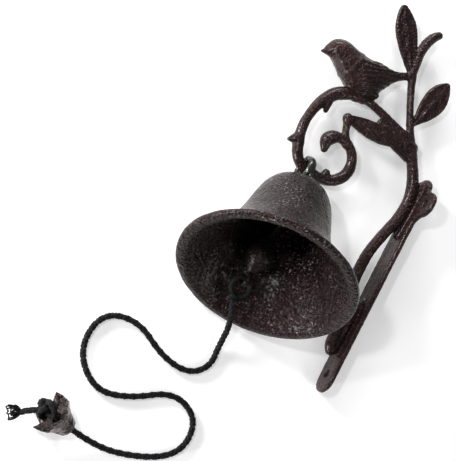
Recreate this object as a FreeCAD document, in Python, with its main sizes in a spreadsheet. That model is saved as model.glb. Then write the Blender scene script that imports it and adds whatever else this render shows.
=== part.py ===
import FreeCAD, Part
import math
import os
import Sketcher
from FreeCAD import Placement, Rotation, Vector

# Wall mounted bell: a cast-iron branch bracket with a perched bird, a hanging ring, a flared bell
# with its clapper, and a braided cord with a blossom-shaped weight.  Everything is in millimetres.
#
# Every piece is drawn in bracket coordinates: x = 0 is the back face of the wall plate, which is the
# wall; y = 0 is the lower screw hole; z = 0 is the table that the set lies on.  frame_x and frame_y
# then move the whole set so that the origin is under the middle of its bounding box.

SIZES = [
    ("frame_x", 64.2), ("frame_y", -97.9),
    # wall plate
    ("plate_width", 16.0), ("plate_thick", 3.0), ("plate_top", 121.0), ("plate_foot", 3.0),
    ("ear_offset", 12.5), ("ear_height", 110.5), ("hole_radius", 2.5),
    # cast branches
    ("trunk_radius", 3.3), ("twig_radius", 2.3), ("arch_radius", 3.1), ("hook_radius", 3.0),
    ("leaf_thick", 4.0), ("leaf_edge", 0.9),
    # hanging ring
    ("ring_radius", 7.0), ("ring_thick", 1.7), ("ring_width", 2.6),
    # bell
    ("bell_radius", 50.0), ("bell_drop", 74.3), ("bell_height", 68.0), ("bell_wall", 3.6),
    ("lug_radius", 5.3), ("lug_thick", 4.5), ("lug_hole", 3.25), ("lug_hole_y", -0.1),
    # clapper and the parts it hangs from
    ("staple_wire", 1.5), ("staple_span", 5.0), ("link_radius", 4.8), ("link_wire", 1.3),
    ("clapper_ball", 8.0), ("clapper_rod", 2.0), ("top_eye", 5.6), ("top_eye_hole", 2.8),
    ("top_eye_thick", 2.8), ("low_eye", 5.0), ("low_eye_hole", 2.7), ("low_eye_thick", 3.2),
    # cord
    ("cord_radius", 1.9), ("loop_radius", 5.2), ("loop_cord", 1.7), ("top_knot", 4.3),
    ("end_knot", 6.1),
    # blossom weight
    ("weight_hole", 2.5), ("notch_depth", 4.0),
]

doc = FreeCAD.newDocument("wall_bell")
sheet = doc.addObject("Spreadsheet::Sheet", "Sizes")
for row, (alias, value) in enumerate(SIZES, start=1):
    sheet.set("A%d" % row, alias)
    sheet.set("B%d" % row, str(value))
    sheet.setAlias("B%d" % row, alias)
doc.recompute()


def size(alias):
    return float(getattr(sheet, alias))


MID = size("plate_width") / 2.0
SHIFT = Vector(size("frame_x"), size("frame_y"), 0)
CAST_PLACE = Placement(SHIFT + Vector(0, 0, MID), Rotation())

# Rest pose.  The ring swings about the hook rod (x), the bell tilts about the ring's lower wire (the
# axis of the lug's hole), and the clapper lies near the lower wall of the bell.
HOOK = Vector(-72.8, 92.0, MID)
RING_SWING = -35.0
BELL_SWING = -26.4
BELL_TILT = -4.6
CLAPPER_SWING = 32.0
RING_DROP = 2.0
ring_turn = Rotation(Vector(1, 0, 0), RING_SWING)
bell_turn = Rotation(Vector(1, 0, 0), BELL_SWING).multiply(Rotation(Vector(0, 0, 1), BELL_TILT))
clapper_turn = bell_turn.multiply(Rotation(Vector(1, 0, 0), CLAPPER_SWING))
LUG = HOOK + ring_turn.multVec(Vector(0, -RING_DROP - size("ring_radius"), 0))

STAPLE_HEIGHT = 55.6
LINK_HEIGHT = 53.9
LOW_EYE_DROP = 44.0
BALL_DROP = 30.0
clapper_hinge_y = LINK_HEIGHT - size("link_radius") - size("bell_drop")
CLAPPER_HINGE = LUG + bell_turn.multVec(Vector(0, clapper_hinge_y, 0))
LOW_EYE = CLAPPER_HINGE + clapper_turn.multVec(Vector(0, -LOW_EYE_DROP, 0))


# ---- helpers ---------------------------------------------------------------------------------------
def plane(body, role):
    return [item for item in body.Origin.OriginFeatures if item.Role == role][0]


def new_body(label):
    body = doc.addObject("PartDesign::Body", label)
    body.Label = label
    return body


def new_sketch(body, name, role="XY_Plane"):
    sketch = body.newObject("Sketcher::SketchObject", name)
    sketch.AttachmentSupport = [(plane(body, role), "")]
    sketch.MapMode = "FlatFace"
    return sketch


def add_circle(sketch, centre, alias):
    """A circle whose radius follows a cell of the sheet."""
    index = sketch.addGeometry(Part.Circle(centre, Vector(0, 0, 1), size(alias)), False)
    number = sketch.addConstraint(Sketcher.Constraint("Radius", index, size(alias)))
    sketch.setExpression("Constraints[%d]" % number, "Sizes." + alias)
    return index


def spline(points, first=None, last=None):
    curve = Part.BSplineCurve()
    places = [Vector(x, y, 0) for x, y in points]
    if first is None:
        curve.interpolate(places)
    else:
        curve.interpolate(Points=places, InitialTangent=first, FinalTangent=last)
    return curve


def rounded(route):
    """Straight runs joined by tangent arcs; each arc takes 0.45 of the shorter run beside it."""
    curves = []
    radii = []
    here = route[0]
    for before, corner, after in zip(route, route[1:], route[2:]):
        incoming = corner - before
        outgoing = after - corner
        half_turn = incoming.getAngle(outgoing) / 2.0
        reach = 0.45 * min(incoming.Length, outgoing.Length)
        radii.append(reach / math.tan(half_turn))
        forward = Vector(incoming).normalize()
        onward = Vector(outgoing).normalize()
        leave = corner - forward * reach
        land = corner + onward * reach
        inward = (onward - forward).normalize()
        middle = corner + inward * (radii[-1] / math.cos(half_turn) - radii[-1])
        curves.append(Part.LineSegment(here, leave))
        curves.append(Part.Arc(leave, middle, land))
        here = land
    curves.append(Part.LineSegment(here, route[-1]))
    return curves, radii


def branch(label, points, alias):
    """A round cast member whose centre line is a rounded route in the bracket's middle plane."""
    body = new_body(label + "_body")
    path = new_sketch(body, label + "_path")
    curves, radii = rounded([Vector(x, y, 0) for x, y in points])
    for curve in curves:
        path.addGeometry(curve, False)
    doc.recompute()
    section = body.newObject("Sketcher::SketchObject", label + "_section")
    section.AttachmentSupport = [(path, "Edge1")]
    section.MapMode = "NormalToEdge"
    add_circle(section, Vector(0, 0, 0), alias)
    doc.recompute()
    pipe = body.newObject("PartDesign::AdditivePipe", label + "_pipe")
    pipe.Profile = section
    pipe.Spine = (path, ["Edge%d" % number for number in range(1, len(curves) + 1)])
    doc.recompute()
    body.Placement = CAST_PLACE
    return body


def pad_in(body, name, sketch, alias, midplane=True):
    pad = body.newObject("PartDesign::Pad", name)
    pad.Profile = sketch
    pad.Midplane = midplane
    pad.setExpression("Length", "Sizes." + alias)
    doc.recompute()
    return pad


def knob(name, centre, radius):
    ball = doc.addObject("Part::Sphere", name)
    ball.Radius = radius
    ball.Placement = Placement(SHIFT + Vector(*centre), Rotation())
    return ball


def lofted(label, sections, centre, turn):
    """A smooth body through ellipses (place along x, offset in y, half height, half thickness)."""
    body = new_body(label)
    rings = []
    for number, (along, offset, half_height, half_thick) in enumerate(sections):
        ring = new_sketch(body, "%s_ring%d" % (label, number), "YZ_Plane")
        ring.AttachmentOffset = Placement(Vector(0, 0, along), Rotation())
        middle = Vector(offset, 0, 0)
        tall = middle + Vector(half_height, 0, 0)
        wide = middle + Vector(0, half_thick, 0)
        ring.addGeometry(Part.Ellipse(tall, wide, middle), False)
        rings.append(ring)
    doc.recompute()
    loft = body.newObject("PartDesign::AdditiveLoft", label + "_loft")
    loft.Profile = rings[0]
    loft.Sections = rings[1:]
    doc.recompute()
    body.Placement = Placement(SHIFT + Vector(*centre), Rotation(Vector(0, 0, 1), turn))
    return body


def spike(name, foot, tip, thick, point):
    """A cone from foot to tip."""
    start = Vector(*foot)
    along = Vector(*tip) - start
    cone = doc.addObject("Part::Cone", name)
    cone.Radius1 = thick
    cone.Radius2 = point
    cone.Height = along.Length
    cone.Placement = Placement(SHIFT + start, Rotation(Vector(0, 0, 1), along))
    return cone


def joined(name, pieces):
    fuse = doc.addObject("Part::MultiFuse", name)
    fuse.Shapes = pieces
    doc.recompute()
    return fuse


def cut_by(label, base, tools):
    """The base with its neighbours' space taken out, so that the members meet face to face."""
    result = base
    for number, tool in enumerate(tools):
        cut = doc.addObject("Part::Cut", "%s_cut%d" % (label, number))
        cut.Base = result
        cut.Tool = tool
        doc.recompute()
        result = cut
    result.Label = label
    return result


# ---- bracket casting -------------------------------------------------------------------------------
def make_wall_plate():
    body = new_body("wall_plate")
    half = MID
    foot = -size("plate_foot")
    top = size("plate_top")
    ear_y = size("ear_height")
    ear_z = size("ear_offset")
    outline = new_sketch(body, "plate_outline", "YZ_Plane")
    neck = 9.0
    corners = [
        Vector(foot, -half, 0), Vector(top, -half, 0), Vector(top, half, 0),
        Vector(ear_y + neck, half, 0), Vector(ear_y + half, ear_z, 0), Vector(ear_y - half, ear_z, 0),
        Vector(ear_y - neck, half, 0), Vector(foot, half, 0),
    ]
    arcs = {
        1: Vector(top + half, 0, 0),
        4: Vector(ear_y, ear_z + half, 0),
        7: Vector(foot - half, 0, 0),
    }
    for number, start in enumerate(corners):
        end = corners[(number + 1) % len(corners)]
        if number in arcs:
            outline.addGeometry(Part.Arc(start, arcs[number], end), False)
        else:
            outline.addGeometry(Part.LineSegment(start, end), False)
    for spot in (Vector(0, 0, 0), Vector(ear_y, ear_z, 0)):
        add_circle(outline, spot, "hole_radius")
    pad = pad_in(body, "plate_pad", outline, "plate_thick", midplane=False)
    pad.Reversed = True
    doc.recompute()
    body.Placement = CAST_PLACE
    return body


def make_trunk():
    route = [(-3.6, 12.8), (-8.6, 18.6), (-10.0, 32.0), (-14.2, 48.0), (-15.2, 64.0), (-13.0, 80.0),
             (-6.8, 100.0), (-6.6, 114.0), (-12.0, 126.0), (-20.5, 137.5)]
    return branch("trunk", route, "trunk_radius")


def make_twig():
    route = [(-20.5, 137.5), (-28.5, 149.5), (-36.5, 163.5), (-42.6, 178.5)]
    body = branch("twig", route, "twig_radius")
    return joined("twig_all", [body, knob("fork_knob", (-20.8, 137.8, MID), 3.7)])


def make_arch():
    route = [(-20.5, 137.5), (-36.0, 143.0), (-56.0, 146.3), (-76.0, 141.8), (-84.6, 128.0),
             (-85.6, 114.0)]
    body = branch("arch", route, "arch_radius")
    thorn = spike("thorn", (-79.0, 133.0, MID), (-77.3, 124.6, MID), 2.6, 1.3)
    return joined("arch_all", [body, thorn])


def make_scroll():
    route = [(-85.6, 114.0), (-85.6, 102.5), (-80.6, 92.0), (-57.5, 92.0), (-48.4, 98.4), (-48.4, 110.6),
             (-54.4, 117.6), (-65.2, 118.8), (-70.2, 113.2), (-68.3, 107.6)]
    body = branch("scroll", route, "hook_radius")
    tip = knob("scroll_tip", (-68.2, 107.4, MID), 3.3)
    spur = spike("spur", (-84.0, 103.5, MID), (-90.3, 100.0, MID), 2.6, 1.3)
    stop = spike("ring_stop", (-60.4, 92.5, MID), (-59.6, 98.6, MID), 2.8, 2.3)
    return joined("scroll_all", [body, tip, spur, stop])


def make_leaf(label, base, tip, half_width, belly, bevel=True):
    """A flat cast leaf from base to tip; belly is where along it the leaf is widest."""
    along = Vector(tip[0] - base[0], tip[1] - base[1], 0)
    across = Vector(-along.y, along.x, 0).normalize() * half_width
    start = Vector(base[0], base[1], 0)
    shoulder = 0.45 * belly
    body = new_body(label + "_body")
    outline = new_sketch(body, label + "_outline")
    for side in (1.0, -1.0):
        edge = [start + across * side * 0.22,
                start + along * shoulder + across * side * 0.72,
                start + along * belly + across * side,
                start + along * 0.86 + across * side * 0.62,
                start + along * 0.98 + across * side * 0.2]
        outline.addGeometry(spline([(p.x, p.y) for p in edge]), False)
    heel = [start + across * 0.22, start - across * 0.22]
    outline.addGeometry(Part.LineSegment(heel[0], heel[1]), False)
    ends = [start + along * 0.98 + across * 0.2, start + along * 0.98 - across * 0.2]
    outline.addGeometry(Part.Arc(ends[0], start + along * 1.01, ends[1]), False)
    pad = pad_in(body, label + "_pad", outline, "leaf_thick")
    if bevel:
        soft = body.newObject("PartDesign::Chamfer", label + "_bevel")
        faces = pad.Shape.Faces
        flat = [n for n, face in enumerate(faces, start=1) if abs(face.normalAt(0, 0).z) > 0.99]
        soft.Base = (pad, ["Face%d" % n for n in flat])
        soft.setExpression("Size", "Sizes.leaf_edge")
        doc.recompute()
    body.Placement = CAST_PLACE
    return body


def make_leaf_curled():
    blade = make_leaf("curled", (-30.0, 136.0), (-66.0, 130.4), 5.6, 0.55, bevel=False)
    curl = spike("curl", (-62.6, 130.4, MID - 3.9), (-62.6, 130.4, MID + 3.9), 3.5, 3.3)
    stem = spike("stem", (-63.6, 129.0, MID), (-62.4, 118.6, MID), 2.3, 2.1)
    leaf = joined("leaf_curled", [blade, curl, stem])
    leaf.Label = "leaf_curled"
    return leaf


def make_leaf_small():
    body = branch("leaf_small", [(-41.2, 175.0), (-44.2, 188.0), (-42.0, 198.0), (-36.4, 204.4)],
                  "twig_radius")
    body.Label = "leaf_small"
    return body


def make_bird():
    sections = [
        (-26.4, 3.7, 0.9, 0.8), (-22.0, 4.6, 3.6, 3.4), (-15.5, 5.0, 7.2, 6.4),
        (-8.5, 2.4, 9.6, 7.4), (0.0, 0.2, 10.8, 7.9), (11.0, 1.6, 8.6, 6.2),
        (21.0, 5.4, 4.0, 3.0), (34.0, 7.8, 2.3, 2.0),
    ]
    return lofted("bird", sections, (-71.5, 156.4, MID), 14.0)


# ---- ring, bell and clapper ------------------------------------------------------------------------
def make_ring():
    """A flat-sided ring: an ellipse turned about the ring's axis, which is the hook's direction."""
    body = new_body("hanging_ring")
    section = new_sketch(body, "ring_section")
    middle = Vector(0, size("ring_radius"), 0)
    wide = middle + Vector(size("ring_width"), 0, 0)
    thick = middle + Vector(0, size("ring_thick"), 0)
    section.addGeometry(Part.Ellipse(wide, thick, middle), False)
    turned = body.newObject("PartDesign::Revolution", "ring_turned")
    turned.Profile = section
    turned.ReferenceAxis = (section, ["H_Axis"])
    turned.Angle = 360
    doc.recompute()
    centre = HOOK + ring_turn.multVec(Vector(0, -RING_DROP, 0))
    body.Placement = Placement(SHIFT + centre, ring_turn)
    return body


def make_bell():
    """Origin at the ring's lower wire, mouth facing -y."""
    body = new_body("bell")
    drop = size("bell_drop")
    rim = size("bell_radius")
    wall = size("bell_wall")
    crown = size("bell_height")
    outer = [(rim, 2.4), (43.6, 8.0), (36.2, 15.7), (29.6, 25.3), (25.6, 36.8), (22.9, 48.3),
             (20.2, 57.4), (15.6, 64.0), (8.0, 67.1), (0.0, crown)]
    inner = [(rim - wall - 1.2, 0.0), (39.2, 6.6), (32.2, 14.9), (25.9, 24.7), (22.0, 36.8),
             (19.3, 48.3), (16.4, 56.1), (12.0, 61.1), (6.0, 63.3), (0.0, crown - wall - 0.8)]
    profile = new_sketch(body, "bell_profile")
    level = Vector(-1, 0, 0)
    down = -drop
    outer_points = [(x, y + down) for x, y in outer]
    inner_points = [(x, y + down) for x, y in inner]
    profile.addGeometry(spline(outer_points, Vector(-1, 0.35, 0), level), False)
    profile.addGeometry(spline(inner_points, Vector(-0.7, 0.6, 0), level), False)
    soft = 0.9
    lip = [Vector(inner_points[0][0], down, 0), Vector(rim - soft, down, 0),
           Vector(rim, down + soft, 0), Vector(outer_points[0][0], outer_points[0][1], 0)]
    profile.addGeometry(Part.LineSegment(lip[0], lip[1]), False)
    round_mid = Vector(rim - soft * (1 - math.sqrt(0.5)), down + soft * (1 - math.sqrt(0.5)), 0)
    profile.addGeometry(Part.Arc(lip[1], round_mid, lip[2]), False)
    profile.addGeometry(Part.LineSegment(lip[2], lip[3]), False)
    axis_top = Vector(0, outer_points[-1][1], 0)
    axis_low = Vector(0, inner_points[-1][1], 0)
    profile.addGeometry(Part.LineSegment(axis_top, axis_low), False)
    shell = body.newObject("PartDesign::Revolution", "bell_shell")
    shell.Profile = profile
    shell.ReferenceAxis = (profile, ["V_Axis"])
    shell.Angle = 360
    doc.recompute()
    make_lug(body)
    body.Placement = Placement(SHIFT + LUG, bell_turn)
    return body


def make_lug(body):
    """The cast eye on the crown that the ring passes through."""
    radius = size("lug_radius")
    hole_y = size("lug_hole_y")
    foot = size("bell_height") - size("bell_drop") - 2.2
    outline = new_sketch(body, "lug_outline")
    left = Vector(-radius, hole_y, 0)
    right = Vector(radius, hole_y, 0)
    flare = 1.6
    low_left = Vector(-radius - flare, foot, 0)
    low_right = Vector(radius + flare, foot, 0)
    outline.addGeometry(Part.Arc(right, Vector(0, hole_y + radius, 0), left), False)
    outline.addGeometry(Part.LineSegment(left, low_left), False)
    outline.addGeometry(Part.LineSegment(low_left, low_right), False)
    outline.addGeometry(Part.LineSegment(low_right, right), False)
    pad_in(body, "lug_pad", outline, "lug_thick")
    hole = new_sketch(body, "lug_hole_outline")
    add_circle(hole, Vector(0, hole_y, 0), "lug_hole")
    pocket = body.newObject("PartDesign::Pocket", "lug_pocket")
    pocket.Profile = hole
    pocket.Midplane = True
    pocket.Length = 2.0 * size("lug_thick")
    doc.recompute()


def make_staple():
    """Bent wire cast into the crown; the clapper's link hangs from its cross bar."""
    body = new_body("clapper_staple")
    span = size("staple_span")
    bar = STAPLE_HEIGHT - size("bell_drop")
    top = bar + 8.6
    bend = 2.4
    path = new_sketch(body, "staple_path", "YZ_Plane")
    corner = bend * math.sqrt(0.5)
    spots = [Vector(top, -span, 0), Vector(bar + bend, -span, 0), Vector(bar, -span + bend, 0),
             Vector(bar, span - bend, 0), Vector(bar + bend, span, 0), Vector(top, span, 0)]
    mid_low = Vector(bar + bend - corner, -span + bend - corner, 0)
    mid_high = Vector(bar + bend - corner, span - bend + corner, 0)
    path.addGeometry(Part.LineSegment(spots[0], spots[1]), False)
    path.addGeometry(Part.Arc(spots[1], mid_low, spots[2]), False)
    path.addGeometry(Part.LineSegment(spots[2], spots[3]), False)
    path.addGeometry(Part.Arc(spots[3], mid_high, spots[4]), False)
    path.addGeometry(Part.LineSegment(spots[4], spots[5]), False)
    doc.recompute()
    section = body.newObject("Sketcher::SketchObject", "staple_section")
    section.AttachmentSupport = [(path, "Edge1")]
    section.MapMode = "NormalToEdge"
    add_circle(section, Vector(0, 0, 0), "staple_wire")
    doc.recompute()
    pipe = body.newObject("PartDesign::AdditivePipe", "staple_pipe")
    pipe.Profile = section
    pipe.Spine = (path, ["Edge%d" % n for n in range(1, 6)])
    doc.recompute()
    body.Placement = Placement(SHIFT + LUG, bell_turn)
    return body


def make_link():
    link = doc.addObject("Part::Torus", "clapper_link")
    link.setExpression("Radius1", "Sizes.link_radius")
    link.setExpression("Radius2", "Sizes.link_wire")
    centre = LUG + bell_turn.multVec(Vector(0, LINK_HEIGHT - size("bell_drop"), 0))
    link.Placement = Placement(SHIFT + centre, bell_turn)
    link.Label = "clapper_link"
    return link


def make_clapper():
    """Origin at the hinge, which is the link's lower wire; the clapper hangs towards -y."""
    body = new_body("clapper")
    rod = size("clapper_rod")
    ball = size("clapper_ball")
    eye_y = -1.0
    profile = new_sketch(body, "clapper_profile")
    rod_top = eye_y - size("top_eye") + 1.2
    side = [(rod, rod_top), (rod, -17.0), (rod + 2.2, -22.6), (ball, -BALL_DROP), (rod + 3.2, -36.2),
            (rod + 0.8, -40.2)]
    profile.addGeometry(spline(side, Vector(0, -1, 0), Vector(-0.2, -1, 0)), False)
    low = side[-1][1]
    profile.addGeometry(Part.LineSegment(Vector(side[-1][0], low, 0), Vector(0, low, 0)), False)
    profile.addGeometry(Part.LineSegment(Vector(0, low, 0), Vector(0, rod_top, 0)), False)
    profile.addGeometry(Part.LineSegment(Vector(0, rod_top, 0), Vector(rod, rod_top, 0)), False)
    turned = body.newObject("PartDesign::Revolution", "clapper_turned")
    turned.Profile = profile
    turned.ReferenceAxis = (profile, ["V_Axis"])
    turned.Angle = 360
    doc.recompute()
    for name, centre_y in (("top_eye", eye_y), ("low_eye", -LOW_EYE_DROP)):
        disc = new_sketch(body, name + "_outline", "YZ_Plane")
        add_circle(disc, Vector(centre_y, 0, 0), name)
        pad_in(body, name + "_pad", disc, name + "_thick")
    for name, centre_y in (("top_eye", eye_y), ("low_eye", -LOW_EYE_DROP)):
        hole = new_sketch(body, name + "_hole_outline", "YZ_Plane")
        add_circle(hole, Vector(centre_y, 0, 0), name + "_hole")
        pocket = body.newObject("PartDesign::Pocket", name + "_pocket")
        pocket.Profile = hole
        pocket.Midplane = True
        pocket.Length = 3.0 * size(name + "_thick")
        doc.recompute()
    body.Placement = Placement(SHIFT + CLAPPER_HINGE, clapper_turn)
    return body


# ---- cord ------------------------------------------------------------------------------------------
# Route of the cord's centre line, laid on the table from the clapper's knot to the end knot.
KNOT_REACH = 12.4
KNOT_LINE = Vector(0, -0.943, -0.333)
TOP_KNOT = LOW_EYE + KNOT_LINE * KNOT_REACH
END_KNOT = Vector(-136.5, -94.0, 11.0)
CORD_ROUTE = [
    TOP_KNOT,
    Vector(-70.4, -4.6, 13.1), Vector(-66.0, -17.5, 2.4), Vector(-64.6, -29.8, 1.95),
    Vector(-74.2, -39.4, 1.95), Vector(-92.5, -38.6, 1.95), Vector(-113.5, -28.6, 1.95),
    Vector(-134.0, -35.0, 1.95),
    Vector(-135.5, -58.0, 1.95), Vector(-117.5, -72.5, 1.95), Vector(-97.5, -67.0, 1.95),
    Vector(-76.0, -51.5, 1.95), Vector(-57.0, -58.0, 1.95), Vector(-55.5, -77.0, 1.95),
    Vector(-71.5, -90.0, 1.95), Vector(-105.0, -99.5, 1.95),
    END_KNOT,
]
HANGING_CURVES = 5          # straight runs and bends before the cord lies flat


def cord_length(name, curves):
    """A stretch of the cord as a round tube along its curves, and the length of its centre line."""
    spine = Part.Wire([curve.toShape() for curve in curves])
    start = curves[0].toShape()
    begin = start.FirstParameter
    ring = Part.Circle(start.valueAt(begin), start.tangentAt(begin), size("cord_radius")).toShape()
    cord = doc.addObject("Part::Feature", name)
    cord.Shape = spine.makePipeShell([Part.Wire([ring])], True, True)
    cord.Placement = Placement(SHIFT, Rotation())
    expected = math.pi * size("cord_radius") ** 2 * spine.Length
    print("%s length %.1f mm, volume %.1f against %.1f" % (name, spine.Length, cord.Shape.Volume, expected))
    return cord


def make_cord():
    """The hanging stretch down to the table, and the stretch that lies on it."""
    curves, radii = rounded(CORD_ROUTE)
    print("cord radii", [round(value, 1) for value in radii])
    return [cord_length("cord", curves[:HANGING_CURVES]), cord_length("cord_lower", curves[HANGING_CURVES:])]


def make_top_knot():
    """The loop through the clapper's lower eye, closed by a knot."""
    side = bell_turn.multVec(Vector(1, 0, 0))
    axis = side.cross(KNOT_LINE).normalize()
    loop = doc.addObject("Part::Torus", "cord_loop")
    loop.setExpression("Radius1", "Sizes.loop_radius")
    loop.setExpression("Radius2", "Sizes.loop_cord")
    centre = LOW_EYE + KNOT_LINE * size("loop_radius")
    loop.Placement = Placement(SHIFT + centre, Rotation(Vector(0, 0, 1), axis))
    ball = knob("top_knot_ball", tuple(TOP_KNOT), size("top_knot"))
    knot = joined("cord_knot_top", [loop, ball])
    knot.Label = "cord_knot_top"
    return knot


LAST_RUN = (CORD_ROUTE[-1] - CORD_ROUTE[-2]).normalize()


def make_end_knot():
    knot = knob("cord_knot_end", tuple(END_KNOT), size("end_knot"))
    knot.Label = "cord_knot_end"
    return knot


def make_tail():
    """The free end past the end knot and its frayed tuft."""
    start = END_KNOT + Vector(-4.4, -1.9, -1.4)
    bend = Vector(-148.2, -99.4, 6.2)
    tip = Vector(-155.0, -104.2, 4.0)
    stalk = spike("tail_stalk", tuple(start), tuple(bend), 1.9, 2.0)
    tuft = spike("tail_tuft", tuple(bend), tuple(tip), 2.0, 3.6)
    joint = knob("tail_joint", tuple(bend), 2.0)
    tail = joined("cord_tail_all", [stalk, joint, tuft])
    knot = [item for item in doc.Objects if item.Label == "cord_knot_end"][0]
    return cut_by("cord_tail", tail, [knot])


def make_weight():
    """A cast blossom threaded on the cord: narrow end towards the cord, petals round the end knot."""
    body = new_body("cord_weight")
    floor = 10.2
    length = 16.8
    hole = size("weight_hole")
    profile = new_sketch(body, "weight_profile")
    outline = [(hole, 0.0), (4.4, 0.0), (5.8, 2.6), (7.6, 8.0), (11.2, length), (9.6, length),
               (6.6, floor), (hole, floor)]
    for number, (x, y) in enumerate(outline):
        after = outline[(number + 1) % len(outline)]
        profile.addGeometry(Part.LineSegment(Vector(x, y, 0), Vector(after[0], after[1], 0)), False)
    cup = body.newObject("PartDesign::Revolution", "weight_cup")
    cup.Profile = profile
    cup.ReferenceAxis = (profile, ["V_Axis"])
    cup.Angle = 360
    doc.recompute()
    notch = new_sketch(body, "weight_notch")
    depth = size("notch_depth")
    corners = [Vector(-3.0, length + 1.0, 0), Vector(3.0, length + 1.0, 0), Vector(0, length - depth, 0)]
    for number, corner in enumerate(corners):
        notch.addGeometry(Part.LineSegment(corner, corners[(number + 1) % 3]), False)
    gap = body.newObject("PartDesign::Pocket", "weight_gap")
    gap.Profile = notch
    gap.Type = 0
    gap.Length = 20.0
    doc.recompute()
    petals = body.newObject("PartDesign::PolarPattern", "weight_petals")
    petals.Originals = [gap]
    petals.Axis = (profile, ["V_Axis"])
    petals.Angle = 360
    petals.Occurrences = 5
    body.Tip = petals
    doc.recompute()
    mouth = END_KNOT - LAST_RUN * (floor + size("end_knot") + 0.35)
    body.Placement = Placement(SHIFT + mouth, Rotation(Vector(0, 1, 0), LAST_RUN))
    return body


# ---- build -----------------------------------------------------------------------------------------
plate = make_wall_plate()
trunk = cut_by("trunk", make_trunk(), [plate])
twig = cut_by("twig", make_twig(), [trunk])
arch = cut_by("arch", make_arch(), [trunk, twig])
scroll = make_scroll()
scroll.Label = "scroll"
leaf_curled = make_leaf_curled()
leaf_top = cut_by("leaf_top", make_leaf("top", (-42.4, 176.0), (-66.0, 206.2), 6.6, 0.58), [twig])
leaf_small = make_leaf_small()
leaf_side = make_leaf("side", (-27.0, 153.0), (-18.2, 182.6), 7.3, 0.6)
leaf_side.Label = "leaf_side"
bird = make_bird()
parts = [
    plate, trunk, twig, arch, scroll, leaf_curled, leaf_top, leaf_small, leaf_side, bird,
    make_ring(), make_bell(), make_staple(), make_link(), make_clapper(),
    *make_cord(), make_top_knot(), make_end_knot(), make_tail(), make_weight(),
]
doc.recompute()

for item in doc.Objects:
    if "Invalid" in item.State or "Error" in item.State:
        raise RuntimeError("%s is %s" % (item.Label, item.State))
os.makedirs("parts", exist_ok=True)
for part in parts:
    shape = part.Shape
    if shape.isNull() or not shape.isValid():
        raise RuntimeError("%s has no valid shape" % part.Label)
    shape.exportStep("parts/%s.step" % part.Label)
    box = shape.optimalBoundingBox()
    print("%-16s %9.1f mm3  solids %d  x %.1f %.1f  y %.1f %.1f  z %.2f %.2f" % (
        part.Label, shape.Volume, len(shape.Solids),
        box.XMin, box.XMax, box.YMin, box.YMax, box.ZMin, box.ZMax))
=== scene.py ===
import bpy
import bmesh
import math
import random
from mathutils import Matrix, Vector, noise


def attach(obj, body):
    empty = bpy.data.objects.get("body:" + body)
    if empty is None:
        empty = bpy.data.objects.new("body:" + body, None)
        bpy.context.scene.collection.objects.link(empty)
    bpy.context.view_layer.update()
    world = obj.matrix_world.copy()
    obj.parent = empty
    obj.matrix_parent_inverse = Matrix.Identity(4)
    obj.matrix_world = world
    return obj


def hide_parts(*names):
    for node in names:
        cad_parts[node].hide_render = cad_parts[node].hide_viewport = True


# Looks of the wall mounted bell.  Positions are written in bracket millimetres (x = 0 is the wall,
# y = 0 the lower screw hole, z = 0 the table) and turned into the frame's metres by row().
# Every piece is drawn at rest, closed, and handed to the body that carries it.

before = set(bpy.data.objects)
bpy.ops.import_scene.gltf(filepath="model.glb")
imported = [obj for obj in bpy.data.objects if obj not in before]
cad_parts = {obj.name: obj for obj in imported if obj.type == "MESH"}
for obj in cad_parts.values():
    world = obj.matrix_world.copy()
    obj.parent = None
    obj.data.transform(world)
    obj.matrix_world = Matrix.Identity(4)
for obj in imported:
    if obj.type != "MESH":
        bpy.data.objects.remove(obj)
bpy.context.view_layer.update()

SHIFT_X = 64.2          # from the frame's middle to the wall
SHIFT_Y = -97.9         # from the frame's middle to the lower screw hole
MID = 8.0               # height of the bracket's middle plane over the table
SCREW_HOLES = [(0.0, MID), (110.5, 20.5)]
SCREW_RADIUS = 2.55


def row(x, y, z=MID):
    return Vector(((x + SHIFT_X) / 1000.0, (y + SHIFT_Y) / 1000.0, z / 1000.0))


def turn_x(degrees):
    return Matrix.Rotation(math.radians(degrees), 3, "X")


def turn_z(degrees):
    return Matrix.Rotation(math.radians(degrees), 3, "Z")


# Rest pose of the hanging parts, in bracket millimetres.
HOOK = Vector((-72.8, 92.0, MID))
RING_TURN = turn_x(-35.0)
BELL_TURN = turn_x(-26.4) @ turn_z(-4.6)
CLAPPER_TURN = BELL_TURN @ turn_x(32.0)
RING_RADIUS = 7.0
RING_DROP = 2.0         # how far the ring's centre hangs below the hook's
RING_CENTRE = HOOK + RING_TURN @ Vector((0, -RING_DROP, 0))
LUG = HOOK + RING_TURN @ Vector((0, -RING_DROP - RING_RADIUS, 0))
BELL_DROP = 74.3        # from the lug's hinge line to the mouth
LINK_HEIGHT = 53.9      # from the mouth to the link
LINK_RADIUS = 4.8
CLAPPER_REACH = 44.0    # from the clapper's hinge to its lower eye
KNOT_REACH = 12.4       # from that eye to the cord's first knot
LINK_CENTRE = LUG + BELL_TURN @ Vector((0, LINK_HEIGHT - BELL_DROP, 0))
CLAPPER_HINGE = LINK_CENTRE + BELL_TURN @ Vector((0, -LINK_RADIUS, 0))
LOW_EYE = CLAPPER_HINGE + CLAPPER_TURN @ Vector((0, -CLAPPER_REACH, 0))
KNOT_LINE = Vector((0, -0.943, -0.333))
TOP_KNOT = LOW_EYE + KNOT_LINE * KNOT_REACH
END_KNOT = Vector((-136.5, -94.0, 11.0))


# ---- mesh helpers -------------------------------------------------------------------------------
def new_object(name, verts, faces, smooth=True):
    mesh = bpy.data.meshes.new(name)
    mesh.from_pydata([tuple(v) for v in verts], [], faces)
    mesh.update()
    if smooth:
        mesh.polygons.foreach_set("use_smooth", [True] * len(mesh.polygons))
    obj = bpy.data.objects.new(name, mesh)
    bpy.context.scene.collection.objects.link(obj)
    return obj


def to_row(points):
    return [row(p[0], p[1], p[2]) for p in points]


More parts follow.
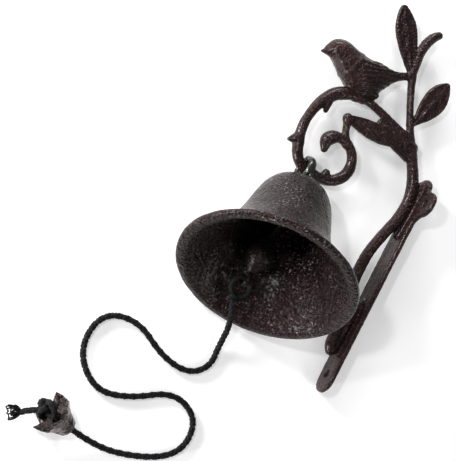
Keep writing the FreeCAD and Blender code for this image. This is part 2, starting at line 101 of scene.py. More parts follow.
def smooth_line(points, steps):
    """Catmull-Rom through tuples of any length; the first three values are the place."""
    line = []
    last = len(points) - 1
    for i in range(last):
        a = points[max(i - 1, 0)]
        b = points[i]
        c = points[i + 1]
        d = points[min(i + 2, last)]
        for k in range(steps):
            t = k / steps
            line.append(tuple(
                0.5 * (2 * q + (r - p) * t + (2 * p - 5 * q + 4 * r - s) * t * t
                       + (3 * q - p - 3 * r + s) * t ** 3)
                for p, q, r, s in zip(a, b, c, d)))
    line.append(tuple(points[last]))
    return line


def frames_along(line):
    """A rotation-minimising pair of side vectors for each point of a line."""
    places = [Vector(p[:3]) for p in line]
    tangents = []
    for i in range(len(places)):
        ahead = places[min(i + 1, len(places) - 1)]
        behind = places[max(i - 1, 0)]
        tangents.append((ahead - behind).normalized())
    side = tangents[0].orthogonal().normalized()
    pairs = []
    for tangent in tangents:
        side = (side - tangent * side.dot(tangent)).normalized()
        pairs.append((side, tangent.cross(side)))
    return places, pairs, tangents


def tube_parts(line, sides=20, flat=1.0):
    """Closed tube with domed ends; each point of the line is (x, y, z, radius)."""
    places, pairs, tangents = frames_along(line)
    verts = []
    faces = []
    rings = []
    for place, pair, entry in zip(places, pairs, line):
        rings.append((place, pair, entry[3]))
    domes = 4               # rings in each rounded end
    first = rings[0]
    last = rings[-1]
    front = []
    back = []
    for k in range(domes, 0, -1):
        angle = 0.5 * math.pi * k / (domes + 1)
        front.append((first[0] - tangents[0] * first[2] * math.sin(angle), first[1],
                      first[2] * math.cos(angle)))
        back.insert(0, (last[0] + tangents[-1] * last[2] * math.sin(angle), last[1],
                        last[2] * math.cos(angle)))
    rings = front + rings + back
    for place, (u, v), radius in rings:
        for k in range(sides):
            angle = 2 * math.pi * k / sides
            across = u * (radius * math.cos(angle))
            verts.append(place + across + v * (radius * flat * math.sin(angle)))
    for i in range(len(rings) - 1):
        for k in range(sides):
            a = i * sides + k
            b = i * sides + (k + 1) % sides
            faces.append((a, b, b + sides, a + sides))
    verts.append(first[0] - tangents[0] * first[2])
    verts.append(last[0] + tangents[-1] * last[2])
    low = len(verts) - 2
    high = len(verts) - 1
    end = (len(rings) - 1) * sides
    for k in range(sides):
        faces.append((low, (k + 1) % sides, k))
        faces.append((high, end + k, end + (k + 1) % sides))
    return verts, faces


def merge(groups):
    verts = []
    faces = []
    for group_verts, group_faces in groups:
        offset = len(verts)
        verts.extend(group_verts)
        faces.extend(tuple(i + offset for i in face) for face in group_faces)
    return verts, faces


def revolve_parts(profile, segments, place, turn):
    """Closed surface of revolution about the local y axis; profile runs from axis to axis."""
    verts = []
    faces = []
    count = len(profile) - 2
    for k in range(segments):
        angle = 2 * math.pi * k / segments
        for radius, height in profile[1:-1]:
            spot = Vector((radius * math.cos(angle), height, radius * math.sin(angle)))
            verts.append(place + turn @ spot)
    for k in range(segments):
        base = k * count
        after = ((k + 1) % segments) * count
        for i in range(count - 1):
            faces.append((base + i, base + i + 1, after + i + 1, after + i))
    for end, i in ((profile[0], 0), (profile[-1], count - 1)):
        verts.append(place + turn @ Vector((0, end[1], 0)))
        tip = len(verts) - 1
        for k in range(segments):
            a = k * count + i
            b = ((k + 1) % segments) * count + i
            faces.append((tip, a, b) if i == 0 else (tip, b, a))
    return verts, faces


def turn_outward(obj):
    """Every closed piece of the mesh gets normals that point out of it."""
    skin = bmesh.new()
    skin.from_mesh(obj.data)
    bmesh.ops.recalc_face_normals(skin, faces=skin.faces)
    skin.to_mesh(obj.data)
    skin.free()


def fused(name, groups, voxel, rounds):
    """One seamless skin round overlapping closed pieces."""
    verts, faces = merge(groups)
    rough = new_object(name + "_rough", to_row(verts), faces)
    turn_outward(rough)
    remesh = rough.modifiers.new("remesh", "REMESH")
    remesh.mode = "VOXEL"
    remesh.voxel_size = voxel / 1000.0
    graph = bpy.context.evaluated_depsgraph_get()
    mesh = bpy.data.meshes.new_from_object(rough.evaluated_get(graph))
    bpy.data.objects.remove(rough)
    skin = bmesh.new()
    skin.from_mesh(mesh)
    for _ in range(rounds):
        bmesh.ops.smooth_vert(skin, verts=skin.verts, factor=0.5, use_axis_x=True, use_axis_y=True,
                              use_axis_z=True)
    skin.to_mesh(mesh)
    skin.free()
    mesh.polygons.foreach_set("use_smooth", [True] * len(mesh.polygons))
    mesh.name = name
    obj = bpy.data.objects.new(name, mesh)
    bpy.context.scene.collection.objects.link(obj)
    return obj


def displace(obj, amount):
    """Moves each point along its normal by amount(place in bracket mm, normal) millimetres."""
    mesh = obj.data
    mesh.update()
    moves = []
    for vertex in mesh.vertices:
        place = Vector((vertex.co.x * 1000.0 - SHIFT_X, vertex.co.y * 1000.0 - SHIFT_Y,
                        vertex.co.z * 1000.0))
        moves.append(vertex.co + vertex.normal * (amount(place, vertex.normal) / 1000.0))
    for vertex, moved in zip(mesh.vertices, moves):
        vertex.co = moved
    mesh.update()


def pebbles(place, pitch, seed=0.0):
    """Cast skin: rounded bumps of about the given pitch, from -1 to 1."""
    spot = place / pitch + Vector((seed, seed * 1.7, seed * 0.6))
    return noise.noise(spot) + 0.5 * noise.noise(spot * 2.1)


def keep_above(obj, lowest):
    """The set lies on the table, so no point may sink into it."""
    for vertex in obj.data.vertices:
        if vertex.co.z < lowest / 1000.0:
            vertex.co.z = lowest / 1000.0


# ---- bracket casting ----------------------------------------------------------------------------
def member(points, sides=24):
    line = smooth_line([(x, y, MID, radius) for x, y, radius in points], 8)
    return tube_parts(line, sides)


def plate_parts():
    """The wall plate with its rounded ends and its ear, as one closed slab; the two screw holes are
    drilled into it later.
    """
    outline = []
    half = 8.0              # half the plate's width, and the radius of its foot and ear
    foot = -3.0
    top = 121.0
    thick = 3.0
    ear_y = 110.5
    ear_z = 12.5
    for k in range(25):
        angle = math.pi * k / 24
        outline.append((foot - half * math.sin(angle), -half * math.cos(angle)))
    for z, y in ((half, 20.0), (half, 45.0), (half, 70.0), (half, 92.0), (half + 0.4, 98.5),
                 (half + 2.0, 101.3)):
        outline.append((y, z))
    for k in range(21):
        angle = math.pi * (k / 20)
        outline.append((ear_y - half * math.cos(angle), ear_z + half * math.sin(angle)))
    outline.extend([(119.6, half + 1.6), (top, half)])
    for k in range(1, 24):
        angle = math.pi * k / 24
        outline.append((top + 6.4 * math.sin(angle), half * math.cos(angle)))
    outline.append((top, -half))
    verts = []
    faces = []
    bevel = 0.8
    layers = [(0.0, bevel), (-bevel, 0.0), (bevel - thick, 0.0), (-thick, bevel)]
    count = len(outline)
    for x, inset in layers:
        for i, (y, z) in enumerate(outline):
            before = Vector(outline[i - 1])
            after = Vector(outline[(i + 1) % count])
            way = (after - before).normalized()
            inward = Vector((-way.y, way.x))
            if inward.dot(Vector((min(max(y, 2.0), 112.0), 0.0)) - Vector((y, z))) < 0:
                inward = -inward
            verts.append(Vector((x, y + inward.x * inset, MID + z + inward.y * inset)))
    for layer in range(len(layers) - 1):
        for i in range(count):
            a = layer * count + i
            b = layer * count + (i + 1) % count
            faces.append((a, b, b + count, a + count))
    faces.append(tuple(range(count - 1, -1, -1)))
    faces.append(tuple((len(layers) - 1) * count + i for i in range(count)))
    return verts, faces


def drill(obj, spots, radius):
    """Round holes through the plate along x."""
    cutters = []
    for y, z in spots:
        line = [(x, y, z, radius) for x in (-9.0, -4.5, -3.4, 3.0, 6.0)]
        cutters.append(tube_parts(line, 32))
    verts, faces = merge(cutters)
    tool = new_object("hole_tool", to_row(verts), faces)
    cut = obj.modifiers.new("holes", "BOOLEAN")
    cut.operation = "DIFFERENCE"
    cut.solver = "EXACT"
    cut.object = tool
    graph = bpy.context.evaluated_depsgraph_get()
    mesh = bpy.data.meshes.new_from_object(obj.evaluated_get(graph))
    obj.modifiers.clear()
    obj.data = mesh
    bpy.data.objects.remove(tool)


# Members of the casting: (x, y) of the centre line in the middle plane, and the radius there.
TRUNK = [(-7.6, 12.6, 3.2), (-9.2, 16.0, 3.4), (-9.9, 24.0, 3.2), (-11.4, 34.0, 3.1),
         (-13.4, 46.0, 3.2), (-14.7, 60.0, 3.3), (-14.2, 72.0, 3.3), (-11.6, 84.0, 3.2),
         (-8.2, 96.0, 3.3), (-6.6, 106.0, 3.5), (-7.4, 115.0, 3.6), (-11.0, 123.6, 3.5),
         (-16.0, 131.0, 3.3), (-20.5, 137.5, 3.1)]
FOOT_WEB = [(-5.4, 13.6, 2.6), (-5.6, 22.0, 3.0), (-5.2, 32.0, 2.9), (-4.4, 41.0, 2.2),
            (-3.2, 48.0, 1.0)]
TOP_WEB = [(-4.2, 88.0, 1.0), (-4.4, 95.0, 2.2), (-3.9, 106.0, 2.9), (-3.7, 116.0, 3.1),
           (-3.4, 122.0, 2.8)]
TWIG = [(-20.5, 137.5, 2.9), (-25.6, 145.0, 2.4), (-31.0, 154.0, 2.2), (-35.6, 162.5, 2.2),
        (-39.4, 170.5, 2.4), (-42.4, 178.0, 2.6)]
ARCH = [(-14.0, 129.0, 2.6), (-19.5, 136.0, 3.2), (-27.0, 140.2, 3.3), (-36.0, 142.6, 2.6),
        (-47.0, 144.4, 2.4), (-57.0, 145.4, 2.5), (-66.0, 144.4, 3.4), (-73.0, 141.4, 3.9),
        (-79.0, 136.2, 3.8), (-83.6, 128.0, 3.3), (-85.8, 118.0, 2.85), (-85.6, 109.0, 3.1),
        (-83.4, 101.8, 3.4)]
SCROLL = [(-84.4, 104.4, 3.3), (-82.2, 98.8, 3.3), (-79.4, 94.8, 3.1), (-75.8, 92.4, 3.0),
          (-71.0, 91.9, 3.0), (-64.0, 91.8, 3.0), (-57.6, 93.2, 3.2), (-52.2, 97.2, 3.4),
          (-49.0, 102.6, 3.4), (-49.0, 108.6, 3.1), (-51.6, 114.2, 2.9), (-56.6, 117.6, 2.8),
          (-62.4, 118.0, 3.0), (-66.6, 116.2, 3.9), (-69.2, 112.4, 4.0), (-68.0, 107.4, 2.2)]
STEM = [(-57.4, 117.0, 2.8), (-60.4, 121.2, 2.3), (-62.2, 125.4, 2.2), (-63.2, 129.0, 2.8)]
SHOOT = [(-41.6, 174.0, 2.8), (-42.4, 181.0, 2.9), (-43.0, 188.0, 2.9), (-42.4, 194.6, 3.0),
         (-40.2, 200.2, 2.9), (-37.6, 203.6, 2.3)]


LEAF_FRONT = 0.62       # share of a leaf's thickness in front of the middle plane, and behind it
LEAF_BACK = 0.75
LEAF_EDGE = 0.12        # half thickness at the very edge


def leaf_parts(base, tip, half_width, belly, thick, ribs, bend=0.0, stalk=0.26):
    """A cast leaf: full at the rim and along the midrib, hollow between, with slanting side veins.

    belly is where along the leaf it is widest, ribs the number of veins, bend how far its middle
    bows sideways, and stalk its width at the base as a share of half_width.
    """
    start = Vector((base[0], base[1], 0))
    along = Vector((tip[0] - base[0], tip[1] - base[1], 0))
    across = Vector((-along.y, along.x, 0)).normalized()
    rows = 70
    columns = 33
    top = []
    low = []
    for i in range(rows + 1):
        t = i / rows
        if t < belly:
            width = stalk + (1.0 - stalk) * math.sin(0.5 * math.pi * (t / belly)) ** 1.15
        else:
            width = math.cos(0.5 * math.pi * (t - belly) / (1.0 - belly + 0.012)) ** 0.72
        width *= half_width
        sway = bend * math.sin(math.pi * t)
        for j in range(columns + 1):
            s = 2.0 * j / columns - 1.0
            edge = max(0.0, 1.0 - abs(s) ** 5)
            rim = 0.55 * math.exp(-((abs(s) - 0.86) / 0.12) ** 2)
            rib = 0.85 * math.exp(-(s / 0.13) ** 2) * (1.0 - 0.7 * t)
            vein = 0.22 * math.cos(2 * math.pi * ribs * (t + 0.22 * abs(s))) * (1.0 - abs(s) ** 4)
            hollow = -0.35 * math.exp(-((abs(s) - 0.45) / 0.26) ** 2)
            height = (thick * LEAF_FRONT + rim + rib + vein + hollow) * edge ** 0.5
            depth = thick * LEAF_BACK * edge ** 0.5
            place = start + along * t + across * (s * width + sway)
            top.append(Vector((place.x, place.y, MID + max(height, LEAF_EDGE))))
            low.append(Vector((place.x, place.y, MID - max(depth, LEAF_EDGE))))
    verts = top + low
    faces = []
    wide = columns + 1
    size = len(top)
    for i in range(rows):
        for j in range(columns):
            a = i * wide + j
            faces.append((a, a + wide, a + wide + 1, a + 1))
            faces.append((size + a, size + a + 1, size + a + wide + 1, size + a + wide))
    for i in range(rows):
        for j in (0, columns):
            a = i * wide + j
            side = (a, size + a, size + a + wide, a + wide)
            faces.append(side if j == 0 else side[::-1])
    for j in range(columns):
        for i in (0, rows):
            a = i * wide + j
            side = (a, a + 1, size + a + 1, size + a)
            faces.append(side if i == 0 else side[::-1])
    return verts, faces


# Bird: (x, y) of the section's middle, half height in the plane, half thickness out of it.
BIRD = [(-97.8, 153.7, 0.5, 0.7), (-96.2, 154.9, 1.5, 1.5), (-94.6, 156.8, 3.2, 2.8),
        (-92.2, 159.0, 5.4, 4.6), (-89.0, 160.2, 6.6, 6.0), (-85.4, 160.0, 7.6, 6.5),
        (-81.5, 158.4, 8.6, 6.9), (-77.0, 157.0, 9.6, 7.4), (-72.0, 155.8, 10.8, 7.7),
        (-67.0, 155.6, 11.6, 7.6), (-62.0, 157.6, 10.8, 6.9), (-57.6, 160.8, 8.6, 5.6),
        (-54.0, 163.6, 5.8, 4.2), (-50.2, 166.6, 3.4, 3.0), (-46.0, 169.8, 2.5, 2.4),
        (-41.8, 172.8, 2.3, 2.2)]


def bird_parts():
    spine = smooth_line(BIRD, 6)
    verts = []
    faces = []
    sides = 40
    for i, (x, y, tall, thick) in enumerate(spine):
        ahead = spine[min(i + 1, len(spine) - 1)]
        behind = spine[max(i - 1, 0)]
        way = Vector((ahead[0] - behind[0], ahead[1] - behind[1], 0)).normalized()
        up = Vector((-way.y, way.x, 0))
        lean = 0.55
        up = (up * (1 - lean) + Vector((0, 1, 0)) * lean).normalized()
        for k in range(sides):
            angle = 2 * math.pi * k / sides
            verts.append(Vector((x, y, MID)) + up * (tall * math.cos(angle))
                         + Vector((0, 0, thick * math.sin(angle))))
    for i in range(len(spine) - 1):
        for k in range(sides):
            a = i * sides + k
            b = i * sides + (k + 1) % sides
            faces.append((a, b, b + sides, a + sides))
    faces.append(tuple(range(sides - 1, -1, -1)))
    end = (len(spine) - 1) * sides
    faces.append(tuple(end + k for k in range(sides)))
    return verts, faces


def bird_detail(place):
    """Feathers, wing and cheek as raised lines on the bird's flanks, in millimetres."""
    x = place.x + 72.0
    y = place.y - 156.0
    if not (-27.0 < x < 30.0 and place.y > 145.0):
        return 0.0
    side = min(1.0, abs(place.z - MID) / 3.5)
    wing_x = x * 0.86 + y * 0.5
    wing_y = -x * 0.5 + y * 0.86
    total = 0.0
    if wing_x > -6.0:
        spread = wing_y / max(3.0, 11.0 - 0.36 * (wing_x + 6.0))
        if abs(spread) < 1.0:
            fade = min(1.0, (wing_x + 6.0) / 6.0) * (1.0 - spread ** 4)
            total += fade * (0.45 + 0.22 * math.cos(spread * 17.0))
    # the breast is set off from the flank by a raised edge from the throat to the legs
    if -20.0 < x < 1.0:
        from_edge = y - 0.9 + 0.56 * (x + 17.8)
        total += 1.0 * math.exp(-(from_edge / 1.3) ** 2)
    if x > 2.0:
        total += 0.24 * min(1.0, (x - 2.0) / 5.0) * math.cos(2.6 * (y - 0.55 * x))
    nape = math.exp(-((x + 5.5 - 0.25 * y) / 1.3) ** 2)
    total += 0.5 * nape * side
    return total * side


def blob(x, y, z, radius, stretch=1.0):
    """A swelling, drawn out along x."""
    return tube_parts([(x + 0.5 * stretch * k, y, z, radius) for k in (-1, 0, 1)])


def cone(a, b, wide, thin):
    """A tapering stub from a to b."""
    steps = 6
    line = []
    for k in range(steps + 1):
        t = k / steps
        place = [p + (q - p) * t for p, q in zip(a, b)]
        line.append((*place, wide + (thin - wide) * t))
    return tube_parts(line)


def make_casting():
    groups = [plate_parts()]
    for line in (TRUNK, FOOT_WEB, TOP_WEB, TWIG, ARCH, SCROLL, STEM, SHOOT):
        groups.append(member(line))
    # the trunk's foot, and the filled corner where the curled leaf leaves the arch
    groups.append(cone((-7.8, 13.0, MID), (-2.6, 16.0, MID), 3.2, 2.6))
    groups.append(cone((-45.0, 139.6, MID), (-26.0, 136.2, MID), 2.0, 4.0))
    groups.append(cone((-40.0, 134.4, MID), (-20.0, 131.6, MID), 2.2, 3.0))
    # thorns, spurs and swellings
    groups.append(cone((-80.2, 133.4, MID), (-78.2, 126.6, MID), 3.8, 1.6))
    groups.append(cone((-85.0, 104.0, MID), (-89.6, 100.6, MID), 4.0, 1.2))
    groups.append(cone((-60.6, 93.4, MID), (-60.2, 96.4, MID), 3.0, 2.4))
    groups.append(blob(-68.0, 143.6, MID, 3.4, 4.0))
    groups.append(blob(-63.4, 144.4, MID + 0.6, 3.1, 3.0))
    groups.append(blob(-57.4, 150.6, MID + 0.6, 2.2, 3.0))
    groups.append(blob(-21.0, 137.6, MID, 3.7, 2.0))
    groups.append(blob(-63.6, 130.2, MID, 3.1, 1.0))
    groups.append(leaf_parts((-24.0, 136.6), (-66.6, 130.4), 5.6, 0.46, 2.6, 3.0, bend=0.6))
    groups.append(leaf_parts((-41.6, 173.0), (-66.4, 206.0), 7.2, 0.62, 2.5, 4.5, stalk=0.16))
    groups.append(leaf_parts((-26.2, 150.0), (-18.0, 182.8), 7.6, 0.60, 2.5, 4.0, bend=-0.8,
                             stalk=0.20))
    groups.append(bird_parts())
    casting = fused("bracket_casting", groups, voxel=0.5, rounds=2)

    def skin(place, normal):
        fine = 0.10 * pebbles(place, 1.9)
        return bird_detail(place) + fine + 0.16 * pebbles(place, 6.5, 3.0)

    displace(casting, skin)
    drill(casting, SCREW_HOLES, SCREW_RADIUS)
    keep_above(casting, 0.02)
    for vertex in casting.data.vertices:
        vertex.co.x = min(vertex.co.x, SHIFT_X / 1000.0)
    return casting


# ---- bell, ring and clapper ---------------------------------------------------------------------
OUTER = [(50.0, 2.4), (47.4, 4.6), (43.6, 8.0), (36.2, 15.7), (29.6, 25.3), (25.6, 36.8),
         (22.9, 48.3), (20.2, 57.4), (15.6, 64.0), (8.0, 67.1), (0.0, 68.0)]
INNER = [(0.0, 63.6), (6.0, 63.3), (12.0, 61.1), (16.4, 56.1), (19.3, 48.3), (22.0, 36.8),
         (25.9, 24.7), (32.2, 14.9), (39.2, 6.6), (43.6, 1.6), (45.2, 0.5)]
LIP = [(45.9, 0.1), (47.0, 0.0), (48.6, 0.1), (49.6, 0.5), (49.95, 1.3)]


def make_bell():
    inner = [p[:2] for p in smooth_line([(r, h, 0.0) for r, h in INNER], 14)]
    outer = [p[:2] for p in smooth_line([(r, h, 0.0) for r, h in OUTER], 14)]
    profile = [(abs(r), h - BELL_DROP) for r, h in inner + LIP + outer]
    verts, faces = revolve_parts(profile, 400, LUG, BELL_TURN)
    bell = new_object("bell_casting", to_row(verts), faces)
    axis = BELL_TURN @ Vector((0, 1, 0))
    mouth = LUG - axis * BELL_DROP

    def skin(place, normal):
        inward = (place - mouth)
        height = inward.dot(axis)
        radial = inward - axis * height
        facing = normal.dot(radial.normalized()) if radial.length > 1.0 else 1.0
        if height > 1.2 and facing < 0.0:
            flare = min(1.0, max(0.25, (34.0 - height) / 26.0))
            hammered = 0.30 * flare * pebbles(place, 1.9, 5.0)
            return hammered + 0.15 * pebbles(place, 7.0, 2.0)
        return 0.07 * pebbles(place, 1.6) + 0.14 * pebbles(place, 9.0, 1.0)

    displace(bell, skin)
    keep_above(bell, 0.03)
    return bell


def make_lug():
    """The cast eye on the bell's crown, with its foot."""
    radius = 4.25
    ring = []
    for k in range(33):
        angle = 2 * math.pi * k / 32
        around = Vector((radius * math.cos(angle), radius * math.sin(angle) - 0.1, 0))
        spot = LUG + BELL_TURN @ around
        ring.append((spot.x, spot.y, spot.z, 1.0))
    groups = [tube_parts(ring, 16, 2.0)]
    for side in (-1.0, 1.0):
        a = LUG + BELL_TURN @ Vector((4.6 * side, -3.0, 0))
        b = LUG + BELL_TURN @ Vector((5.4 * side, -7.6, 0))
        groups.append(cone(a, b, 1.3, 2.5))
    a = LUG + BELL_TURN @ Vector((0, -5.2, 0))
    b = LUG + BELL_TURN @ Vector((0, -8.6, 0))
    groups.append(cone(a, b, 1.6, 3.4))
    lug = fused("bell_lug", groups, voxel=0.35, rounds=2)
    displace(lug, lambda place, normal: 0.08 * pebbles(place, 1.5))
    return lug


def torus_parts(centre, turn, radius, wire, wobble, wide=1.0, sides=28, steps=120):
    """A hand-closed ring in the local y-z plane, a little uneven, with a weld where it closes."""
    verts = []
    faces = []
    for i in range(steps):
        angle = 2 * math.pi * i / steps
        seam = 0.22 * math.exp(-((angle - 0.6) / 0.09) ** 2)
        thick = wire + seam + wobble * math.sin(3 * angle)
        for k in range(sides):
            around = 2 * math.pi * k / sides
            reach = radius + thick * math.cos(around)
            spot = Vector((wide * thick * math.sin(around), reach * math.cos(angle),
                           reach * math.sin(angle)))
            verts.append(centre + turn @ spot)
    for i in range(steps):
        for k in range(sides):
            a = i * sides + k
            b = i * sides + (k + 1) % sides
            c = ((i + 1) % steps) * sides + (k + 1) % sides
            d = ((i + 1) % steps) * sides + k
            faces.append((a, d, c, b))
    return verts, faces


def make_ring():
    verts, faces = torus_parts(RING_CENTRE, RING_TURN, RING_RADIUS, 1.66, 0.03, 1.56)
    return new_object("hanging_loop", to_row(verts), faces)


def make_link():
    across = BELL_TURN @ Matrix.Rotation(math.radians(90), 3, "Y")
    verts, faces = torus_parts(LINK_CENTRE, across, LINK_RADIUS, 1.26, 0.03)
    return new_object("clapper_ring", to_row(verts), faces)


def make_clapper():
    side = smooth_line([(2.0, -5.2, 0), (2.0, -11.0, 0), (2.1, -17.0, 0), (4.2, -22.4, 0),
                        (7.2, -26.6, 0), (7.9, -30.0, 0), (7.0, -33.4, 0), (4.8, -36.6, 0),
                        (3.0, -39.4, 0), (2.4, -41.0, 0)], 6)
    line = []
    for radius, height, _ in side:
        spot = CLAPPER_HINGE + CLAPPER_TURN @ Vector((0, height, 0))
        line.append((spot.x, spot.y, spot.z, radius))
    groups = [tube_parts(line, 32)]
    for height, radius, wire in ((-1.0, 4.1, 1.4), (-CLAPPER_REACH, 3.8, 1.25)):
        ring = []
        for k in range(33):
            angle = 2 * math.pi * k / 32
            spot = CLAPPER_HINGE + CLAPPER_TURN @ Vector(
                (0, height + radius * math.cos(angle), radius * math.sin(angle)))
            ring.append((spot.x, spot.y, spot.z, wire))
        groups.append(tube_parts(ring, 16))
    clapper = fused("clapper_casting", groups, voxel=0.4, rounds=2)

    def skin(place, normal):
        return 0.09 * pebbles(place, 1.5) + 0.1 * pebbles(place, 5.0, 4.0)

    displace(clapper, skin)
    return clapper


# ---- cord ----------------------------------------------------------------------------------------
CORD_D = 3.8
LAID = 1.95             # height of the cord's centre line where it lies on the table
CORD_ROUTE = [
    tuple(TOP_KNOT), (-70.4, -4.6, 13.1), (-66.0, -17.5, 2.4), (-64.6, -29.8, LAID),
    (-74.2, -39.4, LAID), (-92.5, -38.6, LAID), (-113.5, -28.6, LAID), (-134.0, -35.0, LAID),
    (-135.5, -58.0, LAID), (-117.5, -72.5, LAID), (-97.5, -67.0, LAID), (-76.0, -51.5, LAID),
    (-57.0, -58.0, LAID), (-55.5, -77.0, LAID), (-71.5, -90.0, LAID), (-105.0, -99.5, LAID),
    tuple(END_KNOT),
]


def nurbs_line(points):
    """Points read from one smooth NURBS curve whose control points are the route."""
    curve = bpy.data.curves.new("cord_line", "CURVE")
    curve.dimensions = "3D"
    curve.resolution_u = 32
    spline = curve.splines.new("NURBS")
    spline.points.add(len(points) - 1)
    for point, place in zip(spline.points, points):
        spot = row(*place)
        point.co = (spot.x, spot.y, spot.z, 1.0)
    spline.order_u = 3
    spline.use_endpoint_u = True
    holder = bpy.data.objects.new("cord_line", curve)
    bpy.context.scene.collection.objects.link(holder)
    graph = bpy.context.evaluated_depsgraph_get()
    mesh = bpy.data.meshes.new_from_object(holder.evaluated_get(graph))
    line = [vertex.co.copy() for vertex in mesh.vertices]
    bpy.data.objects.remove(holder)
    bpy.data.meshes.remove(mesh)
    return line


def even(line, pitch):
    """The same line with points at an even pitch, in metres."""
    spaced = [line[0].copy()]
    left = pitch
    for a, b in zip(line, line[1:]):
        run = (b - a).length
        done = 0.0
        while run - done >= left:
            done += left
            spaced.append(a.lerp(b, done / run))
            left = pitch
        left -= run - done
    if (spaced[-1] - line[-1]).length > 0.4 * pitch:
        spaced.append(line[-1].copy())
    return spaced


def braid_parts(line, diameter, strands, turn_length):
    """Strands wound both ways round the line, over and under each other, on a solid core."""
    places, pairs, _ = frames_along(line)
    step = (places[1] - places[0]).length
    core = 0.30 * diameter
    groups = [tube_parts([(p.x, p.y, p.z, core) for p in places], 12)]
    thread = 0.165 * diameter
    winding = 0.275 * diameter
    for way in (1.0, -1.0):
        for number in range(strands):
            path = []
            phase = 2 * math.pi * number / strands
            for i, (place, (u, v)) in enumerate(zip(places, pairs)):
                turns = 2 * math.pi * i * step / turn_length
                angle = way * turns + phase
                over = math.pi * number + (0.0 if way > 0 else math.pi)
                weave = math.cos(strands * turns + over)
                reach = winding + 0.07 * diameter * weave
                spot = place + u * (reach * math.cos(angle)) + v * (reach * math.sin(angle))
                path.append((spot.x, spot.y, spot.z, thread))
            groups.append(tube_parts(path, 6))
    return merge(groups)


def make_cord():
    line = even(nurbs_line(CORD_ROUTE), 0.0006)
    verts, faces = braid_parts(line, CORD_D / 1000.0, 4, 0.0105)
    cord = new_object("pull_cord", verts, faces)
    return cord, [tuple(p) for p in line[::2]]


def knot_line(centre, along, size, depth):
    """A closed overhand knot drawn up tight round a centre; along is the cord's direction."""
    side = along.orthogonal().normalized()
    third = along.cross(side)
    line = []
    for k in range(145):
        t = 2 * math.pi * k / 144
        a = (math.sin(t) + 2 * math.sin(2 * t)) / 3.0
        b = (math.cos(t) - 2 * math.cos(2 * t)) / 3.0
        c = -math.sin(3 * t)
        line.append(centre + side * (a * size) + third * (b * size) + along * (c * depth))
    return line


def to_metres(line):
    return [row(p.x, p.y, p.z) for p in line]


def make_top_knot():
    axis = (BELL_TURN @ Vector((1, 0, 0))).cross(KNOT_LINE).normalized()
    side = axis.cross(KNOT_LINE).normalized()
    loop = []
    for k in range(97):
        angle = 2 * math.pi * k / 96 + math.pi
        spot = LOW_EYE + KNOT_LINE * (5.2 + 5.2 * math.cos(angle)) + side * (5.2 * math.sin(angle))
        loop.append(spot)
    groups = [braid_parts(even(to_metres(loop), 0.0005), 0.0033, 6, 0.009)]
    ball = knot_line(TOP_KNOT, KNOT_LINE.normalized(), 2.7, 1.6)
    groups.append(braid_parts(even(to_metres(ball), 0.0005), 0.0031, 6, 0.009))
    verts, faces = merge(groups)
    return new_object("cord_top_knot", verts, faces)


LAST_RUN = (END_KNOT - Vector(CORD_ROUTE[-2])).normalized()


def make_end_knot():
    ball = knot_line(END_KNOT + LAST_RUN * 1.0, LAST_RUN, 4.9, 3.4)
    groups = [braid_parts(even(to_metres(ball), 0.0005), 0.0037, 6, 0.0115)]
    core = [END_KNOT - LAST_RUN * 3.4, END_KNOT - LAST_RUN * 1.2, END_KNOT + LAST_RUN * 1.2,
            END_KNOT + LAST_RUN * 3.4]
    groups.append(braid_parts(even(to_metres(core), 0.0005), 0.0038, 6, 0.0115))
    verts, faces = merge(groups)
    return new_object("cord_end_knot", verts, faces)


TUFT_ROOT = Vector((-147.6, -101.4, 6.0))


def make_tail():
    stalk = smooth_line([(-139.5, -95.4, 10.2, 0), (-142.4, -97.2, 9.0, 0), (-145.2, -99.2, 7.4, 0),
                         tuple(TUFT_ROOT) + (0,)], 8)
    line = even([row(p[0], p[1], p[2]) for p in stalk], 0.0005)
    groups = [braid_parts(line, 0.0036, 6, 0.0115)]
    draw = random.Random(11)
    away = Vector((-0.82, -0.52, -0.10)).normalized()
    side = Vector((-0.52, 0.82, 0)).normalized()
    for number in range(15):
        spread = draw.uniform(-1.0, 1.0)
        rise = draw.uniform(-0.6, 0.8)
        reach = draw.uniform(3.6, 7.6)
        start = TUFT_ROOT + side * (0.9 * spread) + Vector((0, 0, 0.7 * rise))
        middle = start + away * (0.5 * reach) + side * (2.4 * spread) + Vector((0, 0, 1.3 * rise))
        tip = start + away * reach + side * (3.3 * spread) + Vector((0, 0, 1.6 * rise))
        hook = tip + side * (1.7 * (-1.0 if spread > 0 else 1.0)) - away * draw.uniform(-0.6, 2.2)
        points = [tuple(p) + (0.52,) for p in (start - away * 1.2, start, middle, tip, hook)]
        line = smooth_line(points, 7)
        count = len(line)
        line = [(p[0], p[1], max(p[2], 0.7), p[3] * (1.0 - 0.35 * i / count))
                for i, p in enumerate(line)]
        verts, faces = tube_parts(line, 8)
        groups.append((to_row(verts), faces))
    verts, faces = merge(groups)
    return new_object("cord_tuft", verts, faces)


